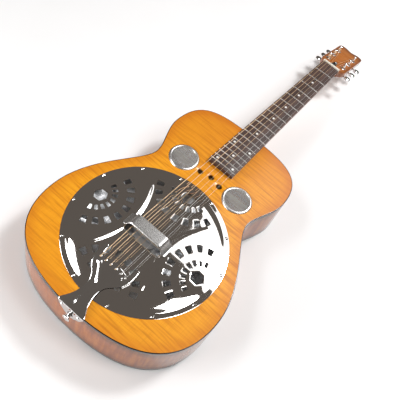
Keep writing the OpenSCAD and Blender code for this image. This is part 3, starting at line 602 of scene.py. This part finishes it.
def build_rim():
    low, high = BINDING_H - BODY_DEPTH, -BINDING_H
    heights = [low + (high - low) * k / 12 for k in range(13)]
    profile = [(0, z) for z in heights] + [(RIM_T, high), (RIM_T, low)]
    outer, inner = body_loop(), body_loop(RIM_T)
    points, faces = ring_solid(profile, [outer] * len(heights) + [inner, inner])
    obj = make_object("maple_sides", points, faces, side_maple)
    middle = (low + high) / 2
    near_edge = np.abs(points[:, 2] - middle) / (high - middle)
    add_attribute(obj, "burst", 0.75 * smooth((near_edge - 0.35) / 0.8))
    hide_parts("rim")


def build_binding(name, node, low, high, outward):
    """Plastic edge strip with its outer corner scraped round; outward is 1 on the top and -1 on the back."""
    r = 1.15
    arc = [(r * (1 - math.cos(a)), r * (1 - math.sin(a))) for a in np.linspace(0, math.pi / 2, 7)]
    if outward > 0:
        profile = [(0, low)] + [(x, high - z) for x, z in arc] + [(BINDING_W, high), (BINDING_W, low)]
    else:
        profile = [(x, low + z) for x, z in arc[::-1]] + [(0, high), (BINDING_W, high), (BINDING_W, low)]
    points, faces = ring_solid(profile, [body_loop(p[0]) for p in profile])
    obj = make_object(name, points, faces, black_binding, smooth_angle=50)
    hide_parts(node)


# ---------------------------------------------------------------- cover plate

FAN_X = 116
FAN_ANGLES = (-68, -49, -29.5, -10, 10, 29.5, 49, 68)
OPENING = (38, 20)
SHEET_T = 1.0
SHOULDER_SLOPE = 0.32
SHOULDER_FOOT, SHOULDER_W, SHOULDER_EASE = 1.2, 6, 22
CROWN_R, CROWN_H = 118, 1.6
LOBE_H = 2.4
LOBE_R, LOBE_EASE, LOBE_WALL = 113, 26, 7.0
CHANNEL_HALF_W, CHANNEL_FLARE, CHANNEL_REACH = 36, 36, 100
FAN_ROWS = ((57.5, 13, 8, 11), (31, 9.5, 4.5, 6.5))
HUB_OFFSET, HUB_R = 8.5, 12.5
SLOT_ROLL, SLOT_ROLL_W = 0.13, 0.7
# Circles in the plate's mesh, close together where its slope changes
PLATE_RINGS = (141.4, 140, 134.3, 134, 133.6, 133.2, 132.8, 131.4, 129.8, 128.2, 126.6, 125, 123.4, 121.6)


def fan_holes():
    """Slots of the four fans and their six-sided hubs, as closed loops."""
    loops = []
    for turn in range(4):
        spin = turn * math.pi / 2

        def place(points):
            points = np.asarray(points, float) * [-1, 1] + [FAN_X, 0]
            c, s = math.cos(spin), math.sin(spin)
            return points @ np.array([[c, s], [-s, c]])

        for angle in FAN_ANGLES:
            a = math.radians(angle)
            c, s = math.cos(a), math.sin(a)
            for radius, length, inner, outer in FAN_ROWS:
                corners = np.array([(-length / 2, -inner / 2), (length / 2, -outer / 2),
                                    (length / 2, outer / 2), (-length / 2, inner / 2)])
                corners = (corners + [radius, 0]) @ np.array([[c, s], [-s, c]])
                loops.append(rounded_polygon(place(corners), 1.0, 3))
        hexagon = circle(HUB_OFFSET, 0, HUB_R, 6)
        loops.append(rounded_polygon(place(hexagon), 1.6, 3))
    return loops


def channel_half_width(y):
    return CHANNEL_HALF_W + CHANNEL_FLARE * (np.abs(y) / CHANNEL_REACH) ** 2


def plate_height(x, y):
    """Upper face of the cover plate: flat rim, a straight shoulder that eases into a slight crown, and the
    string channel between two lobes."""
    r = np.hypot(x, y)
    run = FLANGE_R - r
    foot = np.clip(run, 0, SHOULDER_FOOT)
    cone = np.clip(run - SHOULDER_FOOT, 0, SHOULDER_W - SHOULDER_FOOT)
    ease = np.clip((run - SHOULDER_W) / SHOULDER_EASE, 0, 1)
    climb = foot ** 2 / (2 * SHOULDER_FOOT) + cone + SHOULDER_EASE * (ease - ease ** 2 / 2)
    crown = CROWN_H * (1 - (np.minimum(r, CROWN_R) / CROWN_R) ** 2)
    side = smooth((np.abs(x) - channel_half_width(y) + LOBE_WALL / 2) / LOBE_WALL)
    lobe = LOBE_H * side * smooth((LOBE_R - r) / LOBE_EASE)
    return SHEET_T + SHOULDER_SLOPE * climb + crown + lobe


def build_coverplate():
    outer = circle(0, 0, PLATE_R, 240)
    opening = rounded_polygon([(OPENING[0], OPENING[1]), (-OPENING[0], OPENING[1]),
                               (-OPENING[0], -OPENING[1]), (OPENING[0], -OPENING[1])], 6, 6)
    slots = fan_holes()
    holes = slots + [opening]
    rings = [circle(0, 0, r, 240) for r in PLATE_RINGS]
    rings += [inset(hole, -SLOT_ROLL_W) for hole in holes]
    verts, tris, border = flat_sheet(outer, holes, 1.7, rings, 0.4)
    x, y = verts[:, 0], verts[:, 1]
    edge = distance_to(verts, holes)
    z = plate_height(x, y) - SLOT_ROLL * np.clip(1 - edge / SLOT_ROLL_W, 0, 1) ** 2
    z = z - 0.2 * np.clip(1 - (PLATE_R - np.hypot(x, y)) / 1.0, 0, 1) ** 2
    top = np.column_stack([verts, z])
    low = np.maximum(z - 0.9, 0)
    points, faces = solid_sheet(verts, tris, border, top, np.column_stack([verts, low]))
    obj = make_object("cover_plate", points, faces, plate_chrome, smooth_angle=60)
    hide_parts("coverplate")


def build_hand_rest():
    """Folded guard: an arch in the XZ plane whose front and back edges roll downwards."""
    half = [(50, 9.8), (43, 10.0), (41.6, 11.2), (33.6, 23.0), (31.0, 25.2), (29.5, 25.4), (0, 25.4)]
    path = []
    for k in range(len(half) - 1):
        a, b = np.array(half[k], float), np.array(half[k + 1], float)
        steps = max(2, int(np.linalg.norm(b - a) / 1.2))
        path += [a + (b - a) * t / steps for t in range(steps)]
    path.append(np.array(half[-1], float))
    path = np.array(path)
    for _ in range(6):
        path[1:-1] = (path[:-2] + 2 * path[1:-1] + path[2:]) / 4
    path = np.vstack([path, (path[:-1] * [-1, 1])[::-1]])
    tangent = np.gradient(path, axis=0)
    tangent /= np.linalg.norm(tangent, axis=1)[:, None]
    normal = np.stack([tangent[:, 1], -tangent[:, 0]], 1)
    half_w, roll = 12.0, 2.4
    section = [(-half_w, -roll - 0.6)]
    section += [(-half_w + roll * (1 - math.cos(a)), -roll * (1 - math.sin(a)))
                for a in np.linspace(0, math.pi / 2, 8)]
    section += [(-half_w + roll + (2 * half_w - 2 * roll) * k / 12, 0.0) for k in range(1, 12)]
    section += [(-p[0], p[1]) for p in section[8::-1]]
    thick = 1.1
    back = [(p[0] * (half_w - thick) / half_w, p[1] - (thick if abs(p[0]) < half_w - roll * 0.4 else 0.0))
            for p in section[::-1]]
    loop = section + back
    leg = np.clip((24.5 - path[:, 1]) / 12, 0, 1)
    rings = []
    for k in range(len(path)):
        flare = 1 + 0.10 * leg[k]
        rings.append(np.array([
            (path[k, 0] + normal[k, 0] * d * (1 - 0.55 * leg[k]), w * flare,
             path[k, 1] + normal[k, 1] * d * (1 - 0.55 * leg[k])) for w, d in loop
        ]))
    points, faces = lofted(rings)
    obj = make_object("hand_guard", points, faces, satin_chrome, smooth_angle=50)
    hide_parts("hand_rest")


# ---------------------------------------------------------------- sound holes


def build_bezel(name, node, side):
    profile = [(24.0, 1.2), (24.0, 1.7), (24.3, 2.15), (24.9, 2.5), (25.6, 2.6), (26.4, 2.55), (27.2, 2.3),
               (28.0, 1.85), (28.7, 1.25), (29.1, 0.7), (29.2, 0.2), (29.2, 0.0), (26.3, 0.0), (26.3, -4.0),
               (25.2, -4.0), (25.2, 1.2)]
    points, faces = turned(profile[::-1])
    points = points + [side * SCREEN_HOLE[0], SCREEN_HOLE[1], 0]
    obj = make_object(name, points, faces, satin_chrome)
    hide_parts(node)


def build_screen(name, node, side):
    """Woven wire cloth: two sets of crimped wires that pass over and under each other."""
    pitch, wire, reach = 1.5, 0.24, 24.9
    count = int(reach / pitch)
    parts = []
    for direction in (0, 1):
        for k in range(-count, count + 1):
            offset = k * pitch
            half = math.sqrt(max(0.0, reach ** 2 - offset ** 2))
            steps = max(2, int(2 * half / (pitch / 2)))
            t = np.linspace(-half, half, steps + 1)
            phase = math.pi * (k + direction)
            z = 0.9 + 0.2 * np.cos(math.pi * t / pitch + phase)
            line = np.column_stack([t, np.full(len(t), offset), z])
            if direction:
                line = line[:, [1, 0, 2]]
            parts.append(tube(line, wire, 5))
    points, faces = merged(parts)
    points = points + [side * SCREEN_HOLE[0], SCREEN_HOLE[1], -0.05]
    obj = make_object(name, points, faces, screen_wire, smooth_angle=80)
    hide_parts(node)


# ---------------------------------------------------------------- tailpiece

TAIL_START_Z = 2.4
TAIL_SLOPE = math.radians(6.2)
FOLD_R = 1.5


def tail_outline():
    """Right half of the unrolled sheet: Y along the top, and past the fold down the tail."""
    curves = [
        [(20.5, -192), (23, -186), (26.5, -181), (26.5, -176)],
        [(26.5, -176), (26.5, -168), (19, -163), (15.5, -152)],
        [(15.5, -152), (11.5, -140), (10.5, -130), (14, -120)],
        [(14, -120), (19, -108), (32, -104), (34, -93)],
        [(34, -93), (38, -84), (38, -72), (36, -62)],
        [(36, -62), (35, -60.5), (32, -60.5), (31, -61.5)],
        [(31, -61.5), (27, -68), (30.5, -80), (25, -79.5)],
        [(25, -79.5), (15, -77), (8, -75), (0, -75)],
    ]
    tab = [[(0, -206), (5, -206), (8, -206), (10, -203)], [(10, -203), (14, -198), (18, -196), (20.5, -192)]]
    return mirrored(np.vstack([curve_chain(tab + curves, 12), [(0, -75)]]))


def bend_tail(verts, depth):
    """Wraps the unrolled sheet over the body's edge; depth is how far below the outer face a point lies."""
    swing = math.pi / 2 + TAIL_SLOPE
    arc = FOLD_R * swing
    out = []
    for (x, y), d in zip(verts, depth):
        run = y - TAIL_Y
        if run >= 0:
            out.append((x, TAIL_Y + run * math.cos(TAIL_SLOPE) + d * math.sin(TAIL_SLOPE),
                        TAIL_START_Z + run * math.sin(TAIL_SLOPE) - d * math.cos(TAIL_SLOPE)))
            continue
        turn = min(-run, arc) / FOLD_R
        angle = math.pi / 2 + TAIL_SLOPE + turn
        cy = TAIL_Y + FOLD_R * math.sin(TAIL_SLOPE)
        cz = TAIL_START_Z - FOLD_R * math.cos(TAIL_SLOPE)
        radius = FOLD_R - d
        py, pz = cy + radius * math.cos(angle), cz + radius * math.sin(angle)
        past = max(0.0, -run - arc)
        out.append((x, py, pz - past))
    return np.array(out)


def tail_relief(x, y):
    """Pressed shape of the tailpiece: a raised rib up the arm that parts into two, and a string bar."""
    arm = np.exp(-(np.abs(x) / 4.5) ** 2) * smooth((-100 - y) / 20) * smooth((y + 170) / 10)
    part = np.clip((y + 118) / 32, 0, 1)
    rib = np.exp(-((np.abs(x) - 23 * part) / 4.0) ** 2) * smooth((y + 122) / 8) * smooth((-86 - y) / 8)
    bump = np.exp(-(((np.abs(x) - 22) / 4.5) ** 2 + ((y + 91) / 4.5) ** 2))
    bar = np.exp(-((y + 77.5 - np.abs(x) * -0.06) / 2.2) ** 2) * smooth((30 - np.abs(x)) / 4)
    return 1.1 * arm + 0.9 * rib + 1.0 * bump + 0.8 * bar


def build_tailpiece():
    outer = tail_outline()
    string_x = [STRING_SPREAD / 2 - STRING_PITCH * k for k in range(6)]
    holes = [circle(x, -82.9, 1.75, 20) for x in string_x]
    holes += [circle(side * 17, -182, 1.5, 20) for side in (-1, 1)]
    holes += [circle(0, -197.3, 2.2, 24)]
    rings = [inset(outer, 0.5)]
    verts, tris, border = flat_sheet(outer, holes, 1.6, rings, 0.55)
    edge = distance_to(verts, [outer])
    hole_edge = distance_to(verts, holes)
    relief = tail_relief(verts[:, 0], verts[:, 1]) * smooth(edge / 4)
    roll = 0.3 * np.clip(1 - edge / 0.8, 0, 1) ** 2 + 0.3 * np.clip(1 - hole_edge / 0.8, 0, 1) ** 2
    top = bend_tail(verts, roll - relief)
    bottom = bend_tail(verts, np.full(len(verts), 1.3) - relief)
    points, faces = solid_sheet(verts, tris, border, top, bottom)
    obj = make_object("string_anchor", points, faces, small_chrome, smooth_angle=55)
    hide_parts("tailpiece")


# ---------------------------------------------------------------- neck and headstock


def neck_z(y):
    return 0.5 - (y - JOINT_Y) * math.tan(NECK_TILT)


def board_half_w(y):
    return (NUT_W + (BOARD_END_W - NUT_W) * (SCALE - y) / (SCALE - BOARD_END_Y)) / 2


def from_head(points):
    """Headstock frame (X, along from the nut, out of the face) to the plate frame."""
    a = NECK_TILT + HEAD_PITCH
    p = np.asarray(points, float)
    return np.column_stack([
        p[:, 0],
        SCALE + NUT_T + p[:, 1] * math.cos(a) + p[:, 2] * math.sin(a),
        neck_z(SCALE + NUT_T) - p[:, 1] * math.sin(a) + p[:, 2] * math.cos(a),
    ])


def build_neck():
    heel_len, heel_depth, heel_half_w = 54, 84, 12
    end = SCALE + NUT_T
    ys = np.concatenate([NECK_END_Y + np.linspace(0, 1, 40) * heel_len,
                         np.linspace(NECK_END_Y + heel_len, end, 60)[1:]])
    angles = np.linspace(0, math.pi, 49)
    rings = []
    for y in ys:
        w = board_half_w(min(y, SCALE))
        t = (SCALE - y) / (SCALE - NECK_END_Y)
        heel = max(0.0, 1 - (y - NECK_END_Y) / heel_len)
        plain = 14.5 + 3.0 * t
        depth = plain + (heel_depth - plain) * heel * heel * (3 - 2 * heel)
        lean = math.tan(NECK_TILT + HEAD_PITCH) * max(0.0, (y - JOINT_Y) / (end - JOINT_Y)) ** 8
        narrow = 1 - (1 - heel_half_w / w) * heel
        down = depth * np.sin(angles) ** (0.9 - 0.4 * heel)
        side = w * np.cos(angles) * (1 - (1 - narrow) * down / depth)
        z = neck_z(y)
        rings.append(np.column_stack([side, y - lean * down, z - down]))
    points, faces = lofted([r[::-1] for r in rings])
    obj = make_object("neck_shaft", points, faces, neck_maple, smooth_angle=50)
    heel_dark = smooth((NECK_END_Y + 40 - points[:, 1]) / 60)
    add_attribute(obj, "burst", 0.7 * heel_dark + 0.25 * smooth((points[:, 1] - 600) / 50))
    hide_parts("neck")


def head_loop(steps=14):
    half_w = HEAD_W / 2
    curves = [
        [(0, 0), (8, 0), (16, 0), (22, 0)],
        [(22, 0), (24, 9), (half_w, 10), (half_w, 27)],
        [(half_w, 27), (half_w, 60), (half_w, 100), (half_w, HEAD_LEN - 12)],
        [(half_w, HEAD_LEN - 12), (half_w, HEAD_LEN - 2), (half_w - 8, HEAD_LEN), (half_w - 13, HEAD_LEN)],
        [(half_w - 13, HEAD_LEN), (10, HEAD_LEN), (8, HEAD_LEN - 5), (0, HEAD_LEN - 5)],
    ]
    return mirrored(np.vstack([curve_chain(curves, steps), [(0, HEAD_LEN - 5)]]))


def build_headstock():
    outer = head_loop()
    holes = [circle(side * POST_X, FIRST_POST + k * POST_PITCH, POST_HOLE_R, 28)
             for side in (-1, 1) for k in range(3)]
    holes.append(rounded_polygon([(4.6, 1.5), (4.6, 23), (-4.6, 23), (-4.6, 1.5)], 1.5, 4))
    rings = [inset(outer, d) for d in (0.25, 0.6, 1.1, 1.7)]
    verts, tris, border = flat_sheet(outer, holes, 4.0, rings, 0.5)
    edge = distance_to(verts, [outer])
    roll = 1.5 - np.sqrt(np.maximum(0, 1.5 ** 2 - (1.5 - np.minimum(edge, 1.5)) ** 2))
    roll = roll * smooth((verts[:, 1] - 1) / 4)
    top = np.column_stack([verts, -roll])
    bottom = np.column_stack([verts, roll - HEAD_T])
    points, faces = solid_sheet(verts, tris, border, top, bottom)
    obj = make_object("head_slab", from_head(points), faces, neck_maple, smooth_angle=50)
    edge = distance_to(points[:, :2], [outer])
    near_end = smooth((points[:, 1] - (HEAD_LEN - 34)) / 34)
    add_attribute(obj, "burst", np.clip(0.6 * (1 - smooth(edge / 14)) + 0.55 * near_end, 0, 0.9))
    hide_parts("headstock")


def build_rod_cover():
    curves = [
        [(0, 1), (3, 1), (6, 1), (9, 1)],
        [(9, 1), (9, 14), (5.6, 14), (5.2, 27)],
        [(5.2, 27), (5, 33), (3, 38), (0, 38)],
    ]
    outer = mirrored(np.vstack([curve_chain(curves, 12), [(0, 38)]]))
    holes = [circle(x, y, 1.0, 16) for x, y in ((-6, 4), (6, 4), (0, 31))]
    rings = [inset(outer, d) for d in (0.2, 0.5, 0.9)]
    verts, tris, border = flat_sheet(outer, holes, 1.6, rings, 0.5)
    edge = distance_to(verts, [outer])
    top = np.column_stack([verts, 2.0 - 0.7 * np.clip(1 - edge / 0.9, 0, 1) ** 2])
    bottom = np.column_stack([verts, np.zeros(len(verts))])
    points, faces = solid_sheet(verts, tris, border, top, bottom)
    obj = make_object("rod_cover", from_head(points), faces, black_plastic, smooth_angle=60)
    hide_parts("truss_rod_cover")


# ---------------------------------------------------------------- strings

STRING_R = (0.15, 0.20, 0.30, 0.40, 0.53, 0.66)
SADDLE_Z = 17.5
STRING_HOLE_Y = -83
TAIL_EDGE_Y = (-78, -76.5, -74.5)
BALL_R, BALL_Z = 1.3, 9.73
WAIST_R, WAIST_GAP, WAIST_LOW_Z = 2.4, 0.35, 5.2


def tail_z(y):
    return TAIL_START_Z + (y - TAIL_Y) * math.tan(TAIL_SLOPE)


def build_string(i):
    """String i, counted from the treble side: ball end, speaking length and turns round its post."""
    r = STRING_R[i - 1]
    side = 1 if i <= 3 else -1
    place = i - 1 if i <= 3 else 6 - i
    share = 0.5 - (i - 1) / 5
    edge_y = TAIL_EDGE_Y[min(i, 7 - i) - 1]

    def on_tail(y):
        return np.array([STRING_SPREAD * share, y, tail_z(y) + r + 0.05])

    ball = np.array([STRING_SPREAD * share, STRING_HOLE_Y - 1, BALL_Z])
    nut_top = np.array([36 * share, SCALE + NUT_T / 2, neck_z(SCALE) + BOARD_T + 1.5 + r])
    saddle = np.array([STRING_SPREAD * share, 0, SADDLE_Z + 0.1])
    wrap_r = WAIST_R + WAIST_GAP + r
    steps, turns = 40, 3
    wraps = [(side * (POST_X - wrap_r * math.cos(2 * math.pi * k / steps)),
              FIRST_POST + place * POST_PITCH + wrap_r * math.sin(2 * math.pi * k / steps),
              WAIST_LOW_Z + r + (2 * r + 0.06) * (turns - k / steps)) for k in range(turns * steps + 1)]
    path = np.vstack([[ball + [0, 0.05, BALL_R + 0.1], on_tail(STRING_HOLE_Y - 0.6) - [0, 0, 1.1],
                       on_tail(STRING_HOLE_Y + 0.8), on_tail(edge_y), saddle, nut_top],
                      from_head(wraps)])
    parts = [tube(path, r, 10)]
    barrel = np.array([(ball[0] + x, ball[1], ball[2]) for x in (-1.6, -1.2, 1.2, 1.6)])
    parts.append(tube(barrel, BALL_R, 16))
    points, faces = merged(parts)
    obj = make_object(f"wire_{i}", points, faces, plain_wire if i <= 2 else bronze_wire, smooth_angle=60)
    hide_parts(f"string_{i}")


build_top()
build_back()
build_rim()
build_binding("top_edge_strip", "top_binding", -BINDING_H, 0, 1)
build_binding("back_edge_strip", "back_binding", -BODY_DEPTH, BINDING_H - BODY_DEPTH, -1)
build_coverplate()
build_hand_rest()
build_tailpiece()
for word, way in (("bass", -1), ("treble", 1)):
    build_bezel(f"{word}_ring", f"{word}_bezel", way)
    build_screen(f"{word}_mesh", f"{word}_screen", way)
build_neck()
build_headstock()
build_rod_cover()
for number in range(1, 7):
    build_string(number)

# ---------------------------------------------------------------- materials of the CAD pieces that stay

FINISHES = {
    raw_wood: ("linings", "neck_block", "tail_block", "soundwell", "back_braces"),
    spun_aluminium: ("cone",),
    cast_aluminium: ("spider_bridge",),
    saddle_wood: ("saddle_inserts",),
    bright_steel: ("tension_screw", "truss_rod"),
    turned_brass: ("truss_rod_nut",),
    board_wood: ("fretboard",),
    fret_wire: ("frets",),
    dot_pearl: ("fret_markers", "side_dots"),
    nut_bone: ("nut",),
    small_chrome: ("coverplate_screws", "truss_cover_screws", "tailpiece_screws", "strap_button",
                   "tuner_plates", "tuner_bushings", "tuner_screws",
                   *[f"string_post_{k}" for k in range(1, 7)], *[f"tuner_key_{k}" for k in range(1, 7)]),
}
for finish, names in FINISHES.items():
    for node_name in names:
        for material_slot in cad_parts[node_name].material_slots:
            material_slot.material = finish

# ---------------------------------------------------------------- floor, light and camera


def stage_floor():
    size = 6.0
    mesh = bpy.data.meshes.new("floor")
    corners = [(-size, -size, 0), (size, -size, 0), (size, size, 0), (-size, size, 0)]
    mesh.from_pydata(corners, [], [(0, 1, 2, 3)])
    obj = bpy.data.objects.new("floor", mesh)
    bpy.context.scene.collection.objects.link(obj)
    n = Nodes("floor_paper")
    n.set(Roughness=0.7)
    cloud = n.noise(n.scaled(3, 3, 3), 1.0, 3)
    n.shade("Base Color", n.ramp(cloud, [(0.3, (0.88, 0.88, 0.885)), (0.7, (0.91, 0.91, 0.915))]))
    obj.data.materials.append(n.material)


def soft_box(name, centre, target, width, height, power, colour=(1, 1, 1)):
    light = bpy.data.lights.new(name, "AREA")
    light.shape = "RECTANGLE"
    light.size, light.size_y = width, height
    light.energy = power
    light.color = colour
    obj = bpy.data.objects.new(name, light)
    obj.location = centre
    obj.rotation_euler = (Vector(target) - Vector(centre)).to_track_quat("-Z", "Y").to_euler()
    bpy.context.scene.collection.objects.link(obj)


stage_floor()
bpy.context.scene.view_settings.view_transform = "Standard"
world = bpy.data.worlds.new("studio")
bpy.context.scene.world = world
world.use_nodes = True
world.node_tree.nodes["Background"].inputs["Color"].default_value = (0.115, 0.100, 0.088, 1)
world.node_tree.nodes["Background"].inputs["Strength"].default_value = 1.0
soft_box("head_light", PLATE + Vector((0.55, 1.50, 1.5)), PLATE + Vector((0.55, 1.49, 0)), 1.5, 1.45, 11)
soft_box("key_light", PLATE + Vector((0.6, 1.6, 2.2)), PLATE, 0.5, 0.5, 36)
soft_box("treble_light", PLATE + Vector((0.87, 0.3, 1.5)), PLATE, 0.5, 0.95, 10)
soft_box("bass_light", PLATE + Vector((-0.92, -0.46, 1.5)), PLATE, 0.9, 0.36, 8)
soft_box("low_light", PLATE + Vector((-0.9, -1.3, 0.4)), PLATE + Vector((-0.1, -0.2, -0.05)), 0.9, 0.4, 22)

AZIMUTH, ELEVATION, ROLL = math.radians(17.85), math.radians(55.26), math.radians(-24.96)
CAMERA_PLACE = Vector((0.1905, -0.4175, 0.8215))
LENS = 50.56
SENSOR = 36.0

backwards = Vector((math.sin(AZIMUTH) * math.cos(ELEVATION), -math.cos(AZIMUTH) * math.cos(ELEVATION),
                    math.sin(ELEVATION)))
level_right = (-backwards).cross(Vector((0, 0, 1))).normalized()
level_down = (-backwards).cross(level_right)
image_right = math.cos(ROLL) * level_right + math.sin(ROLL) * level_down
image_up = backwards.cross(image_right)
camera = bpy.data.objects.new("camera", bpy.data.cameras.new("camera"))
camera.data.lens = LENS
camera.data.sensor_width = SENSOR
camera.data.clip_start = 0.01
camera.matrix_world = Matrix.Translation(PLATE + CAMERA_PLACE) @ Matrix(
    (image_right, image_up, backwards)).transposed().to_4x4()
bpy.context.scene.collection.objects.link(camera)
bpy.context.scene.camera = camera
